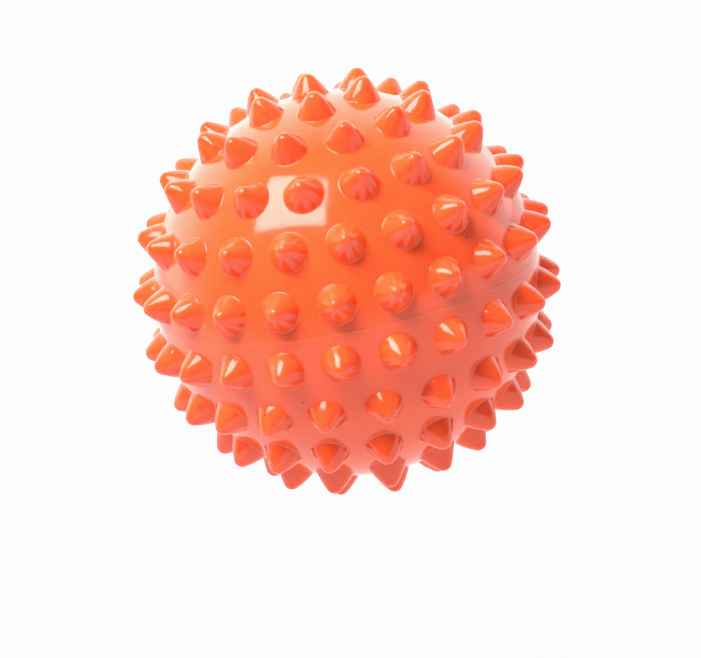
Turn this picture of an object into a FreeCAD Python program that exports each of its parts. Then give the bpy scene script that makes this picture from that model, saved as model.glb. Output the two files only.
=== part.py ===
import FreeCAD, Part
import Sketcher
import math
import os

# Hollow spiky massage ball. Millimetres. +Z is the ball's mould axis, through
# the two poles; the ball stands on the ring of six spikes round the valve at
# its lower pole, and the origin is on that resting plane, under the centre.
# Each half is a thin hollow shell with its rows of cone-shaped spikes moulded
# in. The halves meet at the equator in a lap joint that a weld bead closes.

V = FreeCAD.Vector
doc = FreeCAD.newDocument("MassageBall")

# ---------------------------------------------------------------- the sizes
sheet = doc.addObject("Spreadsheet::Sheet", "Sizes")
SIZES = [
    ("tip_radius", 37.5, "centre to spike tip"),
    ("skin_radius", 33.75, "centre to outer skin"),
    ("inner_radius", 31.75, "centre to inner skin"),
    ("lap_radius", 32.75, "outside of the spigot at the equator"),
    ("lap_rise", 1.6, "height of the spigot"),
    ("lap_gap", 0.05, "glue gap in the lap joint"),
    ("edge_chamfer", 0.2, "chamfer that takes the weld bead"),
    ("bead_round", 0.32, "radius of the weld bead's outside"),
    ("spike_root_radius", 32.85, "centre to the spike's buried root"),
    ("spike_root_half", 3.62, "half width of the spike at its foot"),
    ("spike_nose", 1.5, "radius of the rounded spike tip"),
    ("spike_blend", 0.5, "radius that blends a spike into the skin"),
    ("spike_sink", 0.04, "how far the blend runs in under the skin"),
    ("centre_height", 36.035, "centre of the ball above the resting plane"),
    ("pad_level", 30.7, "flat pad inside the lower pole, below the centre"),
    ("collar_hole", 4.03, "radius of the hole in the shell for the collar"),
    ("collar_neck", 4.0, "radius of the collar's neck"),
    ("collar_mouth", 33.4, "collar's outer end, below the centre"),
    ("collar_flange", 6.4, "radius of the collar's flange"),
    ("collar_flange_thick", 1.2, "thickness of the flange"),
    ("collar_sleeve", 3.5, "radius of the collar's inner sleeve"),
    ("collar_sleeve_top", 25.6, "sleeve's inner end, below the centre"),
    ("collar_bore", 2.0, "radius of the collar's bore"),
    ("collar_edge", 0.3, "chamfer on the flange"),
    ("plug_stem", 1.95, "radius of the plug's stem"),
    ("plug_stem_top", 26.6, "stem's inner end, below the centre"),
    ("plug_lead", 0.5, "lead-in chamfer on the stem's end"),
    ("plug_seat", 33.45, "underside of the plug's head, below the centre"),
    ("plug_head", 3.4, "radius of the plug's head"),
    ("plug_head_thick", 1.0, "thickness of the plug's head"),
    ("plug_head_edge", 0.4, "fillet on the head"),
    ("plug_nick", 0.35, "depth of the finger-nail groove under the rim"),
]
# rows of spikes, equator to pole: name, count, latitude, azimuth of the first
UPPER = [("a", 22, 8.5, 3.86), ("b", 20, 24.6, 1.73), ("c", 17, 41.1, 6.17),
         ("d", 12, 57.3, 12.96), ("e", 6, 73.5, 32.46)]
LOWER = [("a", 22, 8.5, 1.90), ("b", 20, 24.8, 3.57), ("c", 17, 41.6, 17.63),
         ("d", 12, 57.9, 1.87), ("e", 6, 73.6, 36.5)]
for half, rows in (("upper", UPPER), ("lower", LOWER)):
    for name, count, lat, turn in rows:
        SIZES.append((half + "_row_" + name + "_count", count, "spikes in the row"))
        SIZES.append((half + "_row_" + name + "_latitude", lat, "degrees from the equator"))
        SIZES.append((half + "_row_" + name + "_turn", turn, "degrees from +X to the first spike"))

size = {}
for line, (alias, value, note) in enumerate(SIZES, 1):
    sheet.set("A%d" % line, alias)
    sheet.set("B%d" % line, str(value))
    sheet.set("C%d" % line, note)
    sheet.setAlias("B%d" % line, alias)
    size[alias] = float(value)
doc.recompute()


# ------------------------------------------------------------------ helpers
def origin_plane(body, role):
    for feature in body.Origin.OriginFeatures:
        if feature.Role == role:
            return feature
    raise RuntimeError(role)


def new_body(label):
    body = doc.addObject("PartDesign::Body", label)
    body.Label = label
    body.setExpression("Placement.Base.z", "Sizes.centre_height")
    return body


def new_sketch(body, name, role="XZ_Plane"):
    sketch = body.newObject("Sketcher::SketchObject", name)
    sketch.AttachmentSupport = [(origin_plane(body, role), "")]
    sketch.MapMode = "FlatFace"
    return sketch


def bind(sketch, kind, args, name, formula, guess):
    """Adds a dimension and ties it to the sheet."""
    number = sketch.addConstraint(Sketcher.Constraint(kind, *args, guess))
    sketch.renameConstraint(number, name)
    sketch.setExpression("Constraints." + name, formula)


def outline(sketch, corners, ties):
    """A closed outline of straight edges and arcs round the ball's centre.

    corners: (x, z, kind) in order, kind telling how the edge leaves that
    corner: "line", or "arc" for one about the origin. ties: for each corner,
    the formulas for x and z, or None where the shape itself settles them."""
    lines = []
    count = len(corners)
    for k in range(count):
        x, z, kind = corners[k]
        x2, z2, _ = corners[(k + 1) % count]
        if kind == "line":
            lines.append((sketch.addGeometry(Part.LineSegment(V(x, z, 0), V(x2, z2, 0)), False), 1, 2))
        else:
            a, b = math.atan2(z, x), math.atan2(z2, x2)
            flip = b < a
            arc = Part.ArcOfCircle(Part.Circle(V(0, 0, 0), V(0, 0, 1), math.hypot(x, z)), min(a, b), max(a, b))
            number = sketch.addGeometry(arc, False)
            lines.append((number, 2, 1) if flip else (number, 1, 2))
            sketch.addConstraint(Sketcher.Constraint("Coincident", number, 3, -1, 1))
    for k in range(count):
        this, following = lines[k], lines[(k + 1) % count]
        sketch.addConstraint(Sketcher.Constraint("Coincident", this[0], this[2], following[0], following[1]))
    for k in range(count):
        geometry, start, _ = lines[k]
        for way, formula, value in (("DistanceX", ties[k][0], corners[k][0]), ("DistanceY", ties[k][1], corners[k][1])):
            if formula is None:
                continue
            if formula == "0":
                sketch.addConstraint(Sketcher.Constraint("PointOnObject", geometry, start, -2 if way == "DistanceX" else -1))
            else:
                bind(sketch, way, (-1, 1, geometry, start), "%s_%s" % ("xz"[way == "DistanceY"], "abcdefghijklmn"[k]), formula, value)


def revolve(body, sketch, name, kind="PartDesign::Revolution", axis="V_Axis"):
    feature = body.newObject(kind, name)
    feature.Profile = sketch
    feature.ReferenceAxis = (sketch, [axis])
    feature.Angle = 360.0
    sketch.Visibility = False
    body.Tip = feature
    doc.recompute()
    return feature


def spike_profile(sketch, along, side, tip_ties):
    """Half of a spike's section: a cone with a rounded nose and a blended
    foot. along points from the ball's centre to the tip, side across it."""
    tip, root, foot = size["tip_radius"], size["spike_root_radius"], size["spike_root_half"]
    nose, blend = size["spike_nose"], size["spike_blend"]
    out = math.sqrt((size["skin_radius"] + blend - size["spike_sink"]) ** 2 - foot ** 2)
    rest = tip - nose - out
    slope = math.acos((nose + blend) / math.hypot(rest, foot)) - math.atan2(rest, foot)  # half angle of the cone

    def at(u, v):
        return along * u + side * v

    def arc(u, v, radius, first, last):
        """The arc between those two points, whichever way round it runs."""
        centre = at(u, v)
        a = math.atan2(first.y - centre.y, first.x - centre.x)
        b = math.atan2(last.y - centre.y, last.x - centre.x)
        turn = (b - a) % (2 * math.pi)
        forward = turn < math.pi
        circle = Part.Circle(centre, V(0, 0, 1), radius)
        number = sketch.addGeometry(Part.ArcOfCircle(circle, *((a, a + turn) if forward else (b, b + 2 * math.pi - turn))), False)
        return (number, 1, 2) if forward else (number, 2, 1)

    sin, cos = math.sin(slope), math.cos(slope)
    foot_low = at(out - blend, foot)
    foot_high = at(out - blend * sin, foot - blend * cos)
    touch = at(tip - nose + nose * sin, nose * cos)
    axis = sketch.addGeometry(Part.LineSegment(V(0, 0, 0), along * tip), True)
    core = sketch.addGeometry(Part.LineSegment(at(tip, 0), at(root, 0)), False)
    base = sketch.addGeometry(Part.LineSegment(at(root, 0), at(root, foot)), False)
    riser = sketch.addGeometry(Part.LineSegment(at(root, foot), foot_low), False)
    flare = arc(out, foot, blend, foot_low, foot_high)
    cone = sketch.addGeometry(Part.LineSegment(foot_high, touch), False)
    end = arc(tip - nose, 0, nose, touch, at(tip, 0))
    C = Sketcher.Constraint
    sketch.addConstraint(C("Coincident", axis, 1, -1, 1))
    sketch.addConstraint(C("Coincident", core, 1, axis, 2))
    sketch.addConstraint(C("PointOnObject", core, 2, axis))
    sketch.addConstraint(C("Coincident", base, 1, core, 2))
    sketch.addConstraint(C("Perpendicular", base, axis))
    sketch.addConstraint(C("Coincident", riser, 1, base, 2))
    sketch.addConstraint(C("Parallel", riser, axis))
    sketch.addConstraint(C("Coincident", riser, 2, flare[0], flare[1]))
    sketch.addConstraint(C("PointOnObject", flare[0], 3, riser))
    sketch.addConstraint(C("Tangent", flare[0], flare[2], cone, 1))
    sketch.addConstraint(C("Tangent", cone, 2, end[0], end[1]))
    sketch.addConstraint(C("Coincident", end[0], end[2], core, 1))
    sketch.addConstraint(C("PointOnObject", end[0], 3, axis))
    for kind, name, formula, value in tip_ties:
        if formula is None:
            sketch.addConstraint(C("PointOnObject", axis, 2, -2))
        else:
            bind(sketch, kind, (-1, 1, axis, 2), name, formula, value)
    bind(sketch, "Distance", (-1, 1, core, 2), "root", "Sizes.spike_root_radius", root)
    bind(sketch, "Distance", (base,), "half_width", "Sizes.spike_root_half", foot)
    bind(sketch, "Distance", (-1, 1, flare[0], 3), "blend_level", "Sizes.skin_radius + Sizes.spike_blend - Sizes.spike_sink", math.hypot(out, foot))
    bind(sketch, "Radius", (flare[0],), "blend", "Sizes.spike_blend", blend)
    bind(sketch, "Radius", (end[0],), "nose", "Sizes.spike_nose", nose)
    doc.recompute()


def spike_row(body, half, name, sign):
    """One spike turned about its own axis, then the whole row."""
    tag = half + "_row_" + name
    tip = size["tip_radius"]
    lat = math.radians(size[tag + "_latitude"]) * sign
    sketch = new_sketch(body, "Spike_" + tag)
    sketch.AttachmentOffset = FreeCAD.Placement(V(0, 0, 0), FreeCAD.Rotation(V(0, 1, 0), size[tag + "_turn"]))
    sketch.setExpression("AttachmentOffset.Rotation.Angle", "Sizes." + tag + "_turn")
    spike_profile(sketch, V(math.cos(lat), math.sin(lat), 0), V(-math.sin(lat), math.cos(lat), 0), [
        ("DistanceX", "tip_out", "Sizes.tip_radius * cos(Sizes.%s_latitude * 1 deg)" % tag, tip * math.cos(lat)),
        ("DistanceY", "tip_up", "%d * Sizes.tip_radius * sin(Sizes.%s_latitude * 1 deg)" % (sign, tag), tip * math.sin(lat))])
    first = revolve(body, sketch, "Cone_" + tag, axis="Axis0")
    row = body.newObject("PartDesign::PolarPattern", "Ring_" + tag)
    row.Originals = [first]
    row.Axis = (sketch, ["V_Axis"])
    row.Angle = 360.0
    row.setExpression("Occurrences", "Sizes." + tag + "_count")
    row.Occurrences = int(size[tag + "_count"])
    body.Tip = row
    doc.recompute()
    return row


def pole_spike(body):
    """The single spike that stands on the pole."""
    sketch = new_sketch(body, "PoleSpike")
    spike_profile(sketch, V(0, 1, 0), V(1, 0, 0), [
        ("DistanceX", "", None, 0), ("DistanceY", "tip", "Sizes.tip_radius", size["tip_radius"])])
    return revolve(body, sketch, "PoleCone")


# -------------------------------------------------------- upper half shell
ro, ri, rl = size["skin_radius"], size["inner_radius"], size["lap_radius"]
rise, gap, cham = size["lap_rise"], size["lap_gap"], size["edge_chamfer"]
chord = "sqrt(Sizes.skin_radius ^ 2 - Sizes.edge_chamfer ^ 2)"

upper = new_body("upper_half_shell")
wall = new_sketch(upper, "UpperWall")
step = rise + gap
outline(wall,
        [(rl + gap, 0, "line"), (ro - cham, 0, "line"), (math.sqrt(ro ** 2 - cham ** 2), cham, "arc"), (0, ro, "line"),
         (0, ri, "arc"), (math.sqrt(ri ** 2 - step ** 2), step, "line"), (rl + gap, step, "line")],
        [("Sizes.lap_radius + Sizes.lap_gap", "0"), ("Sizes.skin_radius - Sizes.edge_chamfer", "0"), (chord, "Sizes.edge_chamfer"),
         ("0", None), ("0", "Sizes.inner_radius"), (None, "Sizes.lap_rise + Sizes.lap_gap"),
         ("Sizes.lap_radius + Sizes.lap_gap", "Sizes.lap_rise + Sizes.lap_gap")])
doc.recompute()
revolve(upper, wall, "UpperShell")
for name, count, lat, turn in UPPER:
    spike_row(upper, "upper", name, 1)
pole_spike(upper)

# -------------------------------------------------------- lower half shell
# Its spigot stands inside the upper half's edge; the wall is thickened to a
# flat pad round the valve.
pad = size["pad_level"]
lower = new_body("lower_half_shell")
wall = new_sketch(lower, "LowerWall")
outline(wall,
        [(rl, 0, "line"), (rl, rise, "line"), (ri, rise, "line"), (ri, 0, "arc"), (math.sqrt(ri ** 2 - pad ** 2), -pad, "line"),
         (0, -pad, "line"), (0, -ro, "arc"), (math.sqrt(ro ** 2 - cham ** 2), -cham, "line"), (ro - cham, 0, "line")],
        [("Sizes.lap_radius", "0"), ("Sizes.lap_radius", "Sizes.lap_rise"), ("Sizes.inner_radius", "Sizes.lap_rise"),
         ("Sizes.inner_radius", "0"), (None, "-Sizes.pad_level"), ("0", "-Sizes.pad_level"), ("0", None),
         (chord, "-Sizes.edge_chamfer"), ("Sizes.skin_radius - Sizes.edge_chamfer", "0")])
doc.recompute()
revolve(lower, wall, "LowerShell")
for name, count, lat, turn in LOWER:
    spike_row(lower, "lower", name, -1)
hole = new_sketch(lower, "CollarHole", "XY_Plane")
ring = hole.addGeometry(Part.Circle(V(0, 0, 0), V(0, 0, 1), size["collar_hole"]), False)
hole.addConstraint(Sketcher.Constraint("Coincident", ring, 3, -1, 1))
bind(hole, "Radius", (ring,), "radius", "Sizes.collar_hole", size["collar_hole"])
before = lower.Shape.Volume
cut = lower.newObject("PartDesign::Pocket", "CollarOpening")
cut.Profile = hole
cut.setExpression("Length", "Sizes.tip_radius")
cut.Length = size["tip_radius"]
hole.Visibility = False
lower.Tip = cut
doc.recompute()
if not before - lower.Shape.Volume > 50:  # it cut the empty side, so it turns round
    cut.Reversed = True
    doc.recompute()
if not before - lower.Shape.Volume > 50:
    raise RuntimeError("the collar's hole misses the wall")

# ------------------------------------------------------------- weld bead
bead = new_body("seam_weld_bead")
section = new_sketch(bead, "BeadSection")
edge_x = math.sqrt(ro ** 2 - cham ** 2)
half_turn = math.asin(cham / size["bead_round"])
middle = edge_x - size["bead_round"] * math.cos(half_turn)
face_a = section.addGeometry(Part.LineSegment(V(edge_x, -cham, 0), V(ro - cham, 0, 0)), False)
face_b = section.addGeometry(Part.LineSegment(V(ro - cham, 0, 0), V(edge_x, cham, 0)), False)
circle = Part.Circle(V(middle, 0, 0), V(0, 0, 1), size["bead_round"])
bulge = section.addGeometry(Part.ArcOfCircle(circle, -half_turn, half_turn), False)
C = Sketcher.Constraint
section.addConstraint(C("Coincident", face_a, 2, face_b, 1))
section.addConstraint(C("Coincident", face_b, 2, bulge, 2))
section.addConstraint(C("Coincident", face_a, 1, bulge, 1))
section.addConstraint(C("PointOnObject", face_a, 2, -1))
section.addConstraint(C("Symmetric", face_a, 1, face_b, 2, -1))
bind(section, "DistanceX", (-1, 1, face_a, 2), "groove", "Sizes.skin_radius - Sizes.edge_chamfer", ro - cham)
bind(section, "DistanceX", (-1, 1, face_b, 2), "edge", chord, edge_x)
bind(section, "DistanceY", (-1, 1, face_b, 2), "half", "Sizes.edge_chamfer", cham)
bind(section, "Radius", (bulge,), "round", "Sizes.bead_round", size["bead_round"])
doc.recompute()
revolve(bead, section, "WeldBead")
if bead.Shape.Volume > 4 * math.pi * ro * cham ** 2:
    raise RuntimeError("the weld bead's arc bulges the wrong way")

# ---------------------------------------------------------- valve collar
collar = new_body("valve_collar")
section = new_sketch(collar, "CollarSection")
bore, mouth, flange_top = size["collar_bore"], size["collar_mouth"], pad - size["collar_flange_thick"]
outline(section,
        [(bore, -mouth, "line"), (size["collar_neck"], -mouth, "line"), (size["collar_neck"], -pad, "line"),
         (size["collar_flange"], -pad, "line"), (size["collar_flange"], -flange_top, "line"),
         (size["collar_sleeve"], -flange_top, "line"), (size["collar_sleeve"], -size["collar_sleeve_top"], "line"),
         (bore, -size["collar_sleeve_top"], "line")],
        [("Sizes.collar_bore", "-Sizes.collar_mouth"), ("Sizes.collar_neck", "-Sizes.collar_mouth"), ("Sizes.collar_neck", "-Sizes.pad_level"),
         ("Sizes.collar_flange", "-Sizes.pad_level"), ("Sizes.collar_flange", "-(Sizes.pad_level - Sizes.collar_flange_thick)"),
         ("Sizes.collar_sleeve", "-(Sizes.pad_level - Sizes.collar_flange_thick)"), ("Sizes.collar_sleeve", "-Sizes.collar_sleeve_top"),
         ("Sizes.collar_bore", "-Sizes.collar_sleeve_top")])
doc.recompute()
turned = revolve(collar, section, "CollarTurned")


def rim_edges(feature, radius, level):
    """Names of the circular edges of that radius at that height."""
    return ["Edge%d" % k for k, edge in enumerate(feature.Shape.Edges, 1)
            if isinstance(edge.Curve, Part.Circle) and abs(edge.Curve.Radius - radius) < 0.01
            and abs(edge.Curve.Center.z - level) < 0.01]


easing = collar.newObject("PartDesign::Chamfer", "CollarEdges")
easing.Base = (turned, rim_edges(turned, size["collar_flange"], -flange_top) + rim_edges(turned, size["collar_sleeve"], -size["collar_sleeve_top"]))
easing.setExpression("Size", "Sizes.collar_edge")
easing.Size = size["collar_edge"]
collar.Tip = easing
doc.recompute()

# ------------------------------------------------------------- valve plug
plug = new_body("valve_plug")
section = new_sketch(plug, "PlugSection")
seat, head, stem = size["plug_seat"], size["plug_head"], size["plug_stem"]
foot = seat + size["plug_head_thick"]
outline(section,
        [(0, -foot, "line"), (head, -foot, "line"), (head, -seat, "line"), (stem, -seat, "line"), (stem, -size["plug_stem_top"], "line"),
         (0, -size["plug_stem_top"], "line")],
        [("0", "-(Sizes.plug_seat + Sizes.plug_head_thick)"), ("Sizes.plug_head", "-(Sizes.plug_seat + Sizes.plug_head_thick)"),
         ("Sizes.plug_head", "-Sizes.plug_seat"), ("Sizes.plug_stem", "-Sizes.plug_seat"), ("Sizes.plug_stem", "-Sizes.plug_stem_top"),
         ("0", "-Sizes.plug_stem_top")])
doc.recompute()
turned = revolve(plug, section, "PlugTurned")
easing = plug.newObject("PartDesign::Chamfer", "PlugLead")
easing.Base = (turned, rim_edges(turned, stem, -size["plug_stem_top"]))
easing.setExpression("Size", "Sizes.plug_lead")
easing.Size = size["plug_lead"]
plug.Tip = easing
doc.recompute()
rounding = plug.newObject("PartDesign::Fillet", "PlugHeadEdge")
rounding.Base = (easing, rim_edges(easing, head, -foot))
rounding.setExpression("Radius", "Sizes.plug_head_edge")
rounding.Radius = size["plug_head_edge"]
plug.Tip = rounding
doc.recompute()
nick = new_sketch(plug, "NailGroove")
outline(nick,
        [(head - size["plug_nick"], -(seat + 0.35), "line"), (head + 0.5, -(seat + 0.35), "line"), (head + 0.5, -(seat - 0.2), "line"),
         (head - size["plug_nick"], -(seat - 0.2), "line")],
        [("Sizes.plug_head - Sizes.plug_nick", "-(Sizes.plug_seat + Sizes.plug_nick)"), ("Sizes.plug_head + 0.5", "-(Sizes.plug_seat + Sizes.plug_nick)"),
         ("Sizes.plug_head + 0.5", "-(Sizes.plug_seat - 0.2)"), ("Sizes.plug_head - Sizes.plug_nick", "-(Sizes.plug_seat - 0.2)")])
doc.recompute()
revolve(plug, nick, "PlugNailGroove", "PartDesign::Groove")

# ------------------------------------------------------- checks and export
doc.recompute()
for thing in doc.Objects:
    if "Invalid" in thing.State or "Error" in thing.State:
        raise RuntimeError("%s: %s" % (thing.Name, thing.State))
for thing in doc.Objects:
    if thing.TypeId == "Sketcher::SketchObject" and thing.solve() != 0:
        raise RuntimeError("the sketch doesn't solve: " + thing.Name)
BODIES = [upper, lower, bead, collar, plug]
for body in BODIES:
    shape = body.Shape
    if shape.isNull() or not shape.isValid() or len(shape.Solids) != 1:
        raise RuntimeError("bad shape: " + body.Label)
os.makedirs("parts", exist_ok=True)
for body in BODIES:
    body.Shape.exportStep("parts/" + body.Label + ".step")
    box = body.Shape.BoundBox
    print("%-18s volume %9.1f faces %4d  z %7.2f..%6.2f  x %7.2f..%6.2f" % (
        body.Label, body.Shape.Volume, len(body.Shape.Faces), box.ZMin, box.ZMax, box.XMin, box.XMax))
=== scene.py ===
import bpy
import math
import random
import numpy as np
from mathutils import Vector, Matrix
from mathutils.geometry import delaunay_2d_cdt


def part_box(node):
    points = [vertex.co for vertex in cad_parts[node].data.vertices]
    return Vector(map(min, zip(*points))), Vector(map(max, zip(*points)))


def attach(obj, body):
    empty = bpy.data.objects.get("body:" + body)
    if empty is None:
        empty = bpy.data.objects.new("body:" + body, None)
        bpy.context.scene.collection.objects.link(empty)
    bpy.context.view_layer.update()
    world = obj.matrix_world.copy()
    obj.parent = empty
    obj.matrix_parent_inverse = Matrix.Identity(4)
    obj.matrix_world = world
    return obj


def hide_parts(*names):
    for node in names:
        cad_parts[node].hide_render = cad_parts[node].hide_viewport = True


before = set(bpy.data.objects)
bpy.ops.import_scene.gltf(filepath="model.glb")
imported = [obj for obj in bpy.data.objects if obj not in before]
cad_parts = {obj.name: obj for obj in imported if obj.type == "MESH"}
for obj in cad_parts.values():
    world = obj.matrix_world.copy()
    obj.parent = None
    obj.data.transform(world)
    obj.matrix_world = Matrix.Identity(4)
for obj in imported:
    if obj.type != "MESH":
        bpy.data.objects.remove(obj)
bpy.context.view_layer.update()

MM = 0.001
TIP = 37.5          # centre to spike tip
SKIN = 33.75        # centre to outer skin
INNER = 31.75       # centre to inner skin
PAD = 30.7          # flat pad inside the lower pole
HOLE = 4.03         # hole for the valve collar
LAP, RISE, GAP = 32.75, 1.6, 0.05
CHAMFER = 0.2
CENTRE = Vector((0, 0, (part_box("upper_half_shell")[1].z - TIP * MM)))   # the ball's centre
FOOT, NOSE, BLEND, SIDE = 3.62, 1.5, 0.5, 13.0

WASH = 17.6
FLOOR_FRONT, FLOOR_BACK, FLOOR_EDGE = 0.12, 1.10, (-0.260, -0.079)
ROOM_FRONT, ROOM_BACK = 0.27, 2.2    # the studio is bright behind the ball, dimmer behind the camera

# rows of spikes, equator to pole: count, latitude, azimuth of the first
UPPER = [(22, 8.5, 3.86), (20, 24.6, 1.73), (17, 41.1, 6.17), (12, 57.3, 12.96), (6, 73.5, 32.46)]
LOWER = [(22, 8.5, 1.90), (20, 24.8, 3.57), (17, 41.6, 17.63), (12, 57.9, 1.87), (6, 73.6, 36.5)]


# ------------------------------------------------------------------ camera
el, roll = math.radians(15.01), math.radians(-11.25)
right = Vector((1, 0, 0))
back = Vector((0, -math.cos(el), math.sin(el)))
up = back.cross(right)
cam_x = math.cos(roll) * right + math.sin(roll) * up
cam_y = -math.sin(roll) * right + math.cos(roll) * up
R = TIP * MM
cam_pos = CENTRE + 0.0140 * R * cam_x - 0.2172 * R * cam_y + 11.99 * R * back
cam_data = bpy.data.cameras.new("camera")
cam_data.sensor_width = 36.0
cam_data.lens = 36.0 * 214.55 * 11.99 / 701
cam_data.clip_start, cam_data.clip_end = 0.01, 50
camera = bpy.data.objects.new("camera", cam_data)
rot = Matrix((cam_x, cam_y, back)).transposed().to_4x4()
camera.matrix_world = Matrix.Translation(cam_pos) @ rot
bpy.context.scene.collection.objects.link(camera)
bpy.context.scene.camera = camera


# --------------------------------------------------------------- materials
def new_material(name):
    m = bpy.data.materials.new(name)
    m.use_nodes = True
    nt = m.node_tree
    nt.nodes.clear()
    out = nt.nodes.new("ShaderNodeOutputMaterial")
    bsdf = nt.nodes.new("ShaderNodeBsdfPrincipled")
    nt.links.new(bsdf.outputs["BSDF"], out.inputs["Surface"])
    return m, nt, bsdf


def node(nt, kind, **values):
    n = nt.nodes.new(kind)
    for key, value in values.items():
        if key in n.inputs:
            n.inputs[key].default_value = value
        else:
            setattr(n, key, value)
    return n


def pvc(name, deep, light, scatter=(0.0042, 0.0011, 0.00045), roughness=0.17, weight=1.0, specks=0.85):
    """Soft glossy PVC: light goes a few millimetres into it."""
    m, nt, bsdf = new_material(name)
    coord = node(nt, "ShaderNodeTexCoord")
    cloud = node(nt, "ShaderNodeTexNoise", Scale=38.0, Detail=3.0, Roughness=0.5)
    nt.links.new(coord.outputs["Object"], cloud.inputs["Vector"])
    ramp = node(nt, "ShaderNodeValToRGB")
    ramp.color_ramp.elements[0].position, ramp.color_ramp.elements[0].color = 0.30, (*deep, 1)
    ramp.color_ramp.elements[1].position, ramp.color_ramp.elements[1].color = 0.70, (*light, 1)
    nt.links.new(cloud.outputs["Fac"], ramp.inputs["Fac"])
    # a few specks of scorched resin, a sixth of a millimetre across
    cell = node(nt, "ShaderNodeTexVoronoi", Scale=190.0, Randomness=1.0)
    nt.links.new(coord.outputs["Object"], cell.inputs["Vector"])
    dot = node(nt, "ShaderNodeMapRange")
    for key, value in (("From Min", 0.022), ("From Max", 0.050), ("To Min", specks), ("To Max", 0.0)):
        dot.inputs[key].default_value = value
    nt.links.new(cell.outputs["Distance"], dot.inputs["Value"])
    mix = nt.nodes.new("ShaderNodeMix")
    mix.data_type = "RGBA"
    mix_a = [i for i in mix.inputs if i.name == "A" and i.type == "RGBA"][0]
    mix_b = [i for i in mix.inputs if i.name == "B" and i.type == "RGBA"][0]
    mix_out = [o for o in mix.outputs if o.type == "RGBA"][0]
    mix_b.default_value = (0.10, 0.016, 0.004, 1)
    nt.links.new(dot.outputs["Result"], mix.inputs["Factor"])
    nt.links.new(ramp.outputs["Color"], mix_a)
    nt.links.new(mix_out, bsdf.inputs["Base Color"])
    # gloss varies a little over the skin
    haze = node(nt, "ShaderNodeTexNoise", Scale=150.0, Detail=4.0, Roughness=0.55)
    nt.links.new(coord.outputs["Object"], haze.inputs["Vector"])
    span = node(nt, "ShaderNodeMapRange")
    span.inputs["From Min"].default_value, span.inputs["From Max"].default_value = 0.3, 0.7
    span.inputs["To Min"].default_value, span.inputs["To Max"].default_value = roughness - 0.04, roughness + 0.05
    nt.links.new(haze.outputs["Fac"], span.inputs["Value"])
    nt.links.new(span.outputs["Result"], bsdf.inputs["Roughness"])
    # moulded skin is very slightly uneven
    wave = node(nt, "ShaderNodeTexNoise", Scale=260.0, Detail=3.0, Roughness=0.5)
    nt.links.new(coord.outputs["Object"], wave.inputs["Vector"])
    bump = node(nt, "ShaderNodeBump", Strength=0.10, Distance=0.0002)
    nt.links.new(wave.outputs["Fac"], bump.inputs["Height"])
    nt.links.new(bump.outputs["Normal"], bsdf.inputs["Normal"])
    bsdf.inputs["IOR"].default_value = 1.53
    bsdf.inputs["Subsurface Weight"].default_value = weight
    bsdf.inputs["Subsurface Radius"].default_value = scatter
    bsdf.inputs["Subsurface Scale"].default_value = 1.0
    return m


skin = pvc("orange_pvc", (0.78, 0.079, 0.015), (0.82, 0.092, 0.019), scatter=(0.0010, 0.0005, 0.0003), roughness=0.11)
seam = pvc("seam_pvc", (0.80, 0.082, 0.021), (0.84, 0.094, 0.025), scatter=(0.0034, 0.0008, 0.0003), roughness=0.14, weight=0.0)
collar_mat = pvc("collar_pvc", (0.80, 0.15, 0.05), (0.86, 0.20, 0.07), roughness=0.34, specks=0.0)
plug_mat = pvc("plug_pe", (0.80, 0.76, 0.70), (0.86, 0.83, 0.78), scatter=(0.0015, 0.0012, 0.0009), roughness=0.38, specks=0.0)


# ------------------------------------------------------------------ shells
def spike_curve():
    """The spike's half section as (out from centre, across, normal out, normal across), foot to
    tip: a hollow blend, a slightly convex side and a round nose, each tangent to the next."""
    def blend_for(join):
        c = (TIP - NOSE - (SIDE - NOSE) * math.cos(join), -(SIDE - NOSE) * math.sin(join))
        low, high = join, math.pi / 2
        for _ in range(60):
            mid = (low + high) / 2
            f = (c[0] + (SIDE + BLEND) * math.cos(mid), c[1] + (SIDE + BLEND) * math.sin(mid))
            if math.hypot(*f) > SKIN + BLEND:
                low = mid
            else:
                high = mid
        return c, mid, f
    low, high = math.radians(30), math.radians(75)      # where the side takes over from the nose
    for _ in range(60):
        join = (low + high) / 2
        c, foot, f = blend_for(join)
        if f[1] > FOOT:
            low = join
        else:
            high = join
    lean = math.atan2(f[1], f[0])
    points = []
    for k in range(8):
        a = lean + (foot - lean) * k / 7
        points.append((f[0] - BLEND * math.cos(a), f[1] - BLEND * math.sin(a), math.cos(a), math.sin(a)))
    for k in range(1, 9):
        a = foot + (join - foot) * k / 9
        points.append((c[0] + SIDE * math.cos(a), c[1] + SIDE * math.sin(a), math.cos(a), math.sin(a)))
    for k in range(9):
        a = join * (9 - k) / 9
        points.append((TIP - NOSE + NOSE * math.cos(a), NOSE * math.sin(a), math.cos(a), math.sin(a)))
    print("spike: nose to side at", round(math.degrees(join), 1), "side to blend at", round(math.degrees(foot), 1), "foot", round(points[0][1], 3), "blend centre", round(f[1], 3))
    return points


CURVE = spike_curve()
ROUND = 40          # points round a spike


def directions(rows, sign, pole):
    found = []
    for count, lat, turn in rows:
        for k in range(count):
            a, b = math.radians(turn + 360.0 * k / count), math.radians(lat) * sign
            found.append(Vector((math.cos(b) * math.cos(a), math.cos(b) * math.sin(a), math.sin(b))))
    if pole:
        found.append(Vector((0, 0, sign)))
    return found


def flat(d, sign):
    """Azimuthal map of the half sphere, pole in the middle."""
    theta = math.acos(max(-1.0, min(1.0, d.z * sign)))
    s = math.hypot(d.x, d.y)
    return (0.0, 0.0) if s < 1e-12 else (theta * d.x / s, theta * d.y / s)


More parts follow.
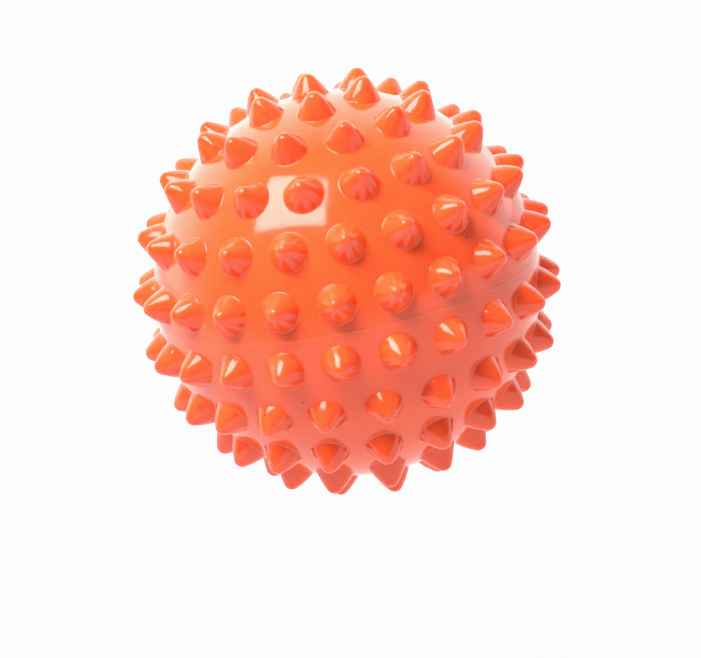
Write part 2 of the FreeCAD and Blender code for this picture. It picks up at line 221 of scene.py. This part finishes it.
def half_shell(name, rows, sign, pole, seed):
    rnd = random.Random(seed)
    verts, normals, faces = [], [], []
    spikes = directions(rows, sign, pole)
    plan, edges, skin_points = [], [], []
    foot_angle = math.atan2(CURVE[0][1], CURVE[0][0])

    def add(p, n):
        verts.append(p)
        normals.append(n)
        return len(verts) - 1

    rings = []
    for d in spikes:
        side = d.orthogonal().normalized()
        other = d.cross(side)
        tall = 1.0 + rnd.uniform(-0.008, 0.006)
        lean = side * rnd.uniform(-0.012, 0.012) + other * rnd.uniform(-0.012, 0.012)
        rnd.random()
        previous = None
        for j, (u, v, nu, nv) in enumerate(CURVE):
            rise = max(0.0, (u - CURVE[0][0]) / (TIP - CURVE[0][0]))
            uu = CURVE[0][0] + (u - CURVE[0][0]) * (tall if j > 0 else 1.0)
            ring = []
            for i in range(ROUND):
                a = 2 * math.pi * i / ROUND
                w = side * math.cos(a) + other * math.sin(a)
                p = d * uu + w * v + lean * rise * (TIP - SKIN)
                n = (d * nu + w * nv).normalized()
                ring.append(add(p, n))
            if previous is None:
                rings.append(ring)
            else:
                for i in range(ROUND):
                    k = (i + 1) % ROUND
                    faces.append((previous[i], previous[k], ring[k], ring[i]))
            previous = ring
        top = add(d * (CURVE[0][0] + (TIP - CURVE[0][0]) * tall) + lean * (TIP - SKIN), d.copy())
        for i in range(ROUND):
            faces.append((previous[i], previous[(i + 1) % ROUND], top))
    # the skin between the spikes
    owner = []
    for ring in rings:
        first = len(plan)
        for i in ring:
            plan.append(flat(verts[i].normalized(), sign))
            owner.append(i)
        for i in range(ROUND):
            edges.append((first + i, first + (i + 1) % ROUND))
    rim = math.sqrt(SKIN ** 2 - CHAMFER ** 2)
    RIM = 240
    first = len(plan)
    edge_ring = []
    for i in range(RIM):
        a = 2 * math.pi * i / RIM
        p = Vector((rim * math.cos(a), rim * math.sin(a), sign * CHAMFER))
        edge_ring.append(add(p, p.normalized()))
        plan.append(flat(p.normalized(), sign))
        owner.append(edge_ring[-1])
    for i in range(RIM):
        edges.append((first + i, first + (i + 1) % RIM))
    hole_ring = []
    if not pole:
        first = len(plan)
        z = math.sqrt(SKIN ** 2 - HOLE ** 2)
        for i in range(64):
            a = 2 * math.pi * i / 64
            p = Vector((HOLE * math.cos(a), HOLE * math.sin(a), sign * z))
            hole_ring.append(add(p, p.normalized()))
            plan.append(flat(p.normalized(), sign))
            owner.append(hole_ring[-1])
        for i in range(64):
            edges.append((first + i, first + (i + 1) % 64))
    # loose points, evenly spread
    axes = np.array([list(d) for d in spikes])
    golden = math.pi * (3 - math.sqrt(5))
    total = 22000
    for k in range(total):
        z = 1 - (k + 0.5) / total * 1.0
        if z * SKIN < CHAMFER + 0.35:
            continue
        s = math.sqrt(1 - z * z)
        d = Vector((s * math.cos(golden * k), s * math.sin(golden * k), sign * z))
        near = float((axes @ np.array(list(d))).max())
        if near > math.cos(foot_angle + 0.010):
            continue
        if not pole and s * SKIN < HOLE + 0.4:
            continue
        plan.append(flat(d, sign))
        owner.append(add(d * SKIN, d.copy()))
    coords = [Vector(p) for p in plan]
    cv, ce, cf, ov, oe, of_ = delaunay_2d_cdt(coords, edges, [], 0, 1e-7)
    index = [o[0] if o else None for o in ov]
    ring_of = {}
    for r, ring in enumerate(rings):
        for i in ring:
            ring_of[i] = r
    hole_set = set(hole_ring)
    edge_set = set(edge_ring)
    for f in cf:
        ids = [owner[index[k]] for k in f]
        own = {ring_of.get(i, -1) for i in ids}
        if len(own) == 1 and -1 not in own:
            continue                     # the disc under a spike
        if hole_set and all(i in hole_set for i in ids):
            continue
        if sign > 0:
            faces.append(tuple(ids))
        else:
            faces.append(tuple(reversed(ids)))
    # edge, lap joint, inside wall: rings turned round the axis
    def turned(profile, count, start=None):
        """Rings of (r, z, nr, nz); hard corners repeat a point."""
        last = start
        for r, z, nr, nz in profile:
            if r < 1e-6:
                tip = add(Vector((0, 0, z)), Vector((0, 0, nz)))
                for i in range(count):
                    faces.append((last[i], last[(i + 1) % count], tip))
                return None
            ring = [add(Vector((r * math.cos(2 * math.pi * i / count), r * math.sin(2 * math.pi * i / count), z)),
                        Vector((nr * math.cos(2 * math.pi * i / count), nr * math.sin(2 * math.pi * i / count), nz))) for i in range(count)]
            if last is not None:
                for i in range(count):
                    k = (i + 1) % count
                    faces.append((last[i], last[k], ring[k], ring[i]))
            last = ring
        return last

    def wall(a, b, steps=14):
        """Inner skin from polar angle a to b."""
        return [(INNER * math.sin(t), sign * INNER * math.cos(t), -math.sin(t), -sign * math.cos(t))
                for t in [a + (b - a) * k / steps for k in range(steps + 1)]]

    if sign > 0:
        mid = LAP + GAP
        step = RISE + GAP
        profile = [(SKIN - CHAMFER, 0.0, 0, -1), (mid, 0.0, 0, -1), (mid, step, -1, 0), (math.sqrt(INNER ** 2 - step ** 2), step, 0, -1)]
        profile += wall(math.acos(step / INNER), 0.001, 40)
        profile += [(0, INNER, 0, -1)]
    else:
        profile = [(SKIN - CHAMFER, 0.0, 0, 1), (LAP, 0.0, 1, 0), (LAP, RISE, 0, 1), (INNER, RISE, -1, 0), (INNER, 0.0, -1, 0)]
        profile += wall(math.pi / 2, math.asin(math.sqrt(INNER ** 2 - PAD ** 2) / INNER), 40)
        profile += [(HOLE, -PAD, 0, 1)]
    end = turned(profile, RIM, edge_ring)
    if not pole:
        # bore of the hole, from the pad out to the skin: bridge two rings of different counts
        inner_hole = end
        n_in, n_out = RIM, 64
        i = j = 0
        while i < n_in or j < n_out:
            if j >= n_out or (i < n_in and (i + 1) / n_in <= (j + 1) / n_out):
                faces.append((inner_hole[i % n_in], inner_hole[(i + 1) % n_in], hole_ring[j % n_out]))
                i += 1
            else:
                faces.append((inner_hole[i % n_in], hole_ring[(j + 1) % n_out], hole_ring[j % n_out]))
                j += 1
    mesh = bpy.data.meshes.new(name)
    mesh.from_pydata([tuple(CENTRE + v * MM) for v in verts], [], faces)
    mesh.validate()
    for p in mesh.polygons:
        p.use_smooth = True
    obj = bpy.data.objects.new(name, mesh)
    bpy.context.scene.collection.objects.link(obj)
    import bmesh
    bm = bmesh.new()
    bm.from_mesh(mesh)
    loose = [e for e in bm.edges if len(e.link_faces) != 2]
    print(name, "verts", len(bm.verts), "faces", len(bm.faces), "open or odd edges", len(loose), "volume mm3", round(bm.calc_volume(signed=True) * 1e9, 1))
    bmesh.ops.recalc_face_normals(bm, faces=bm.faces)
    print("   after recalc", round(bm.calc_volume(signed=True) * 1e9, 1))
    bm.to_mesh(mesh)
    bm.free()
    mesh.normals_split_custom_set_from_vertices([tuple(n.normalized()) for n in normals])
    return obj


top_half = half_shell("upper_shell_skin", UPPER, 1, True, 11)
low_half = half_shell("lower_shell_skin", LOWER, -1, False, 12)
for piece, node_name in ((top_half, "upper_half_shell"), (low_half, "lower_half_shell")):
    piece.data.materials.append(skin)
    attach(piece, "ball")
    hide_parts(node_name)



def seam_ridge():
    """The low weld ridge at the equator, running out into the skin."""
    count, verts, faces, normals = 360, [], [], []
    section = [(-0.25, -0.012), (-0.21, 0.002), (-0.14, 0.010), (-0.07, 0.024), (0.0, 0.030), (0.07, 0.024), (0.14, 0.010), (0.21, 0.002), (0.25, -0.012),
               (0.16, -0.16), (0.0, -0.17), (-0.16, -0.16)]
    rnd = random.Random(5)
    waves = [(rnd.randint(3, 40), rnd.uniform(0, 6.28), rnd.uniform(0.001, 0.003)) for _ in range(6)]
    # the trimmed line stands proud in stretches (degrees round the ball) and is flush between them
    stretches = [(rnd.uniform(345, 545), rnd.uniform(4, 14)) for _ in range(8)] + [(241.5, 4.8), (258.0, 3.0), (275.3, 2.4), (330.0, 12.0)]
    for i in range(count):
        a = 2 * math.pi * i / count
        near = max(min(1.0, max(0.0, (half + 2.0 - abs((math.degrees(a) - mid + 180) % 360 - 180)) / 2.0)) for mid, half in stretches)
        proud = 0.10 + 0.90 * near
        lift = sum(h * math.sin(k * a + p) for k, p, h in waves)
        for j, (z, rise) in enumerate(section):
            r = SKIN + (rise * proud + lift * proud if 1 < j < 7 else rise)
            verts.append(tuple(CENTRE + Vector((r * math.cos(a), r * math.sin(a), z)) * MM))
    n = len(section)
    for i in range(count):
        k = (i + 1) % count
        for j in range(n):
            m2 = (j + 1) % n
            faces.append((i * n + j, k * n + j, k * n + m2, i * n + m2))
    mesh = bpy.data.meshes.new("seam_ridge")
    mesh.from_pydata(verts, [], faces)
    for p in mesh.polygons:
        p.use_smooth = True
    obj = bpy.data.objects.new("seam_ridge", mesh)
    bpy.context.scene.collection.objects.link(obj)
    return obj


ridge = seam_ridge()
ridge.data.materials.append(seam)
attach(ridge, "ball")
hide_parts("seam_weld_bead")

for node_name, material in ( ("valve_collar", collar_mat), ("valve_plug", plug_mat)):
    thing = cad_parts[node_name]
    thing.data.materials.clear()
    thing.data.materials.append(material)

# ------------------------------------------------------- floor and lights
floor_mesh = bpy.data.meshes.new("floor")
s = 6.0
floor_mesh.from_pydata([(-s, -s, 0), (s, -s, 0), (s, s, 0), (-s, s, 0)], [], [(0, 1, 2, 3)])
floor = bpy.data.objects.new("floor", floor_mesh)
bpy.context.scene.collection.objects.link(floor)
m, nt, bsdf = new_material("floor_white")
bsdf.inputs["Base Color"].default_value = (0.12, 0.12, 0.121, 1)
bsdf.inputs["Roughness"].default_value = 0.9
bsdf.inputs["Specular IOR Level"].default_value = 0.1
# a lit table: bright under and behind the ball, fading towards the front
coord = nt.nodes.new("ShaderNodeTexCoord")
along = nt.nodes.new("ShaderNodeVectorMath")
along.operation = "DOT_PRODUCT"
along.inputs[1].default_value = (0.459, 0.888, 0.0)
nt.links.new(coord.outputs["Object"], along.inputs[0])
fade = nt.nodes.new("ShaderNodeMapRange")
fade.interpolation_type = "SMOOTHSTEP"
for key, value in (("From Min", FLOOR_EDGE[0]), ("From Max", FLOOR_EDGE[1]), ("To Min", FLOOR_FRONT), ("To Max", FLOOR_BACK)):
    fade.inputs[key].default_value = value
nt.links.new(along.outputs["Value"], fade.inputs["Value"])
nt.links.new(fade.outputs["Result"], bsdf.inputs["Emission Strength"])
bsdf.inputs["Emission Color"].default_value = (1, 1, 1, 1)
# one-sided, so that the ball's underside can be looked at from below
side_of = nt.nodes.new("ShaderNodeNewGeometry")
clear = nt.nodes.new("ShaderNodeBsdfTransparent")
either = nt.nodes.new("ShaderNodeMixShader")
floor_out = [n for n in nt.nodes if n.bl_idname == "ShaderNodeOutputMaterial"][0]
nt.links.new(side_of.outputs["Backfacing"], either.inputs[0])
nt.links.new(bsdf.outputs["BSDF"], either.inputs[1])
nt.links.new(clear.outputs["BSDF"], either.inputs[2])
nt.links.new(either.outputs["Shader"], floor_out.inputs["Surface"])
floor_mesh.materials.append(m)

world = bpy.data.worlds.new("studio")
bpy.context.scene.world = world
world.use_nodes = True
nt = world.node_tree
sky = nt.nodes["Background"]
sky.inputs["Color"].default_value = (1, 1, 1, 1)
coord = nt.nodes.new("ShaderNodeTexCoord")
dot = nt.nodes.new("ShaderNodeVectorMath")
dot.operation = "DOT_PRODUCT"
dot.inputs[1].default_value = tuple(-back)
nt.links.new(coord.outputs["Generated"], dot.inputs[0])
level = nt.nodes.new("ShaderNodeMapRange")
level.interpolation_type = "SMOOTHSTEP"
for key, value in (("From Min", -0.15), ("From Max", 0.5), ("To Min", ROOM_FRONT), ("To Max", ROOM_BACK)):
    level.inputs[key].default_value = value
nt.links.new(dot.outputs["Value"], level.inputs["Value"])
nt.links.new(level.outputs["Result"], sky.inputs["Strength"])


def softbox(name, direction, distance, wide, high, radiance, color=(1, 1, 1), turn=0.0, pitch=0.0, yaw=0.0):
    """An area light seen from the ball along a direction in camera axes."""
    x, y, z = direction
    d = (cam_x * x + cam_y * y + back * z).normalized()
    data = bpy.data.lights.new(name, "AREA")
    data.shape = "RECTANGLE"
    data.size, data.size_y = wide, high
    data.energy = radiance * wide * high * math.pi
    data.color = color
    lamp = bpy.data.objects.new(name, data)
    z_axis = d
    x_axis = cam_x - z_axis * cam_x.dot(z_axis)
    x_axis.normalize()
    y_axis = z_axis.cross(x_axis)
    t = math.radians(turn)
    x_axis, y_axis = math.cos(t) * x_axis + math.sin(t) * y_axis, -math.sin(t) * x_axis + math.cos(t) * y_axis
    t = math.radians(pitch)
    y_axis, z_axis = math.cos(t) * y_axis + math.sin(t) * z_axis, -math.sin(t) * y_axis + math.cos(t) * z_axis
    t = math.radians(yaw)
    x_axis, z_axis = math.cos(t) * x_axis + math.sin(t) * z_axis, -math.sin(t) * x_axis + math.cos(t) * z_axis
    lamp.matrix_world = Matrix.Translation(CENTRE + d * distance) @ Matrix((x_axis, y_axis, z_axis)).transposed().to_4x4()
    bpy.context.scene.collection.objects.link(lamp)
    return lamp


softbox("key_softbox", (-0.468, 0.754, 0.555), 0.75, 0.479, 0.447, 10.6, turn=-16.1, pitch=30.3, yaw=11.8)
wash = softbox("wash_light", (-0.463, 0.692, 0.555), 0.76, 0.50, 0.40, WASH, turn=-17.0)
wash.visible_glossy = False      # soft fill round the softbox, with no mirror image

view = bpy.context.scene.view_settings
view.view_transform = "Standard"
# white paper prints just under full white
view.use_curve_mapping = True
tone = view.curve_mapping
tone.extend = "HORIZONTAL"
tone.curves[3].points[0].location, tone.curves[3].points[1].location = (0.0, 0.0), (1.0, 0.973)
tone.curves[3].points.new(0.6, 0.6)
tone.update()
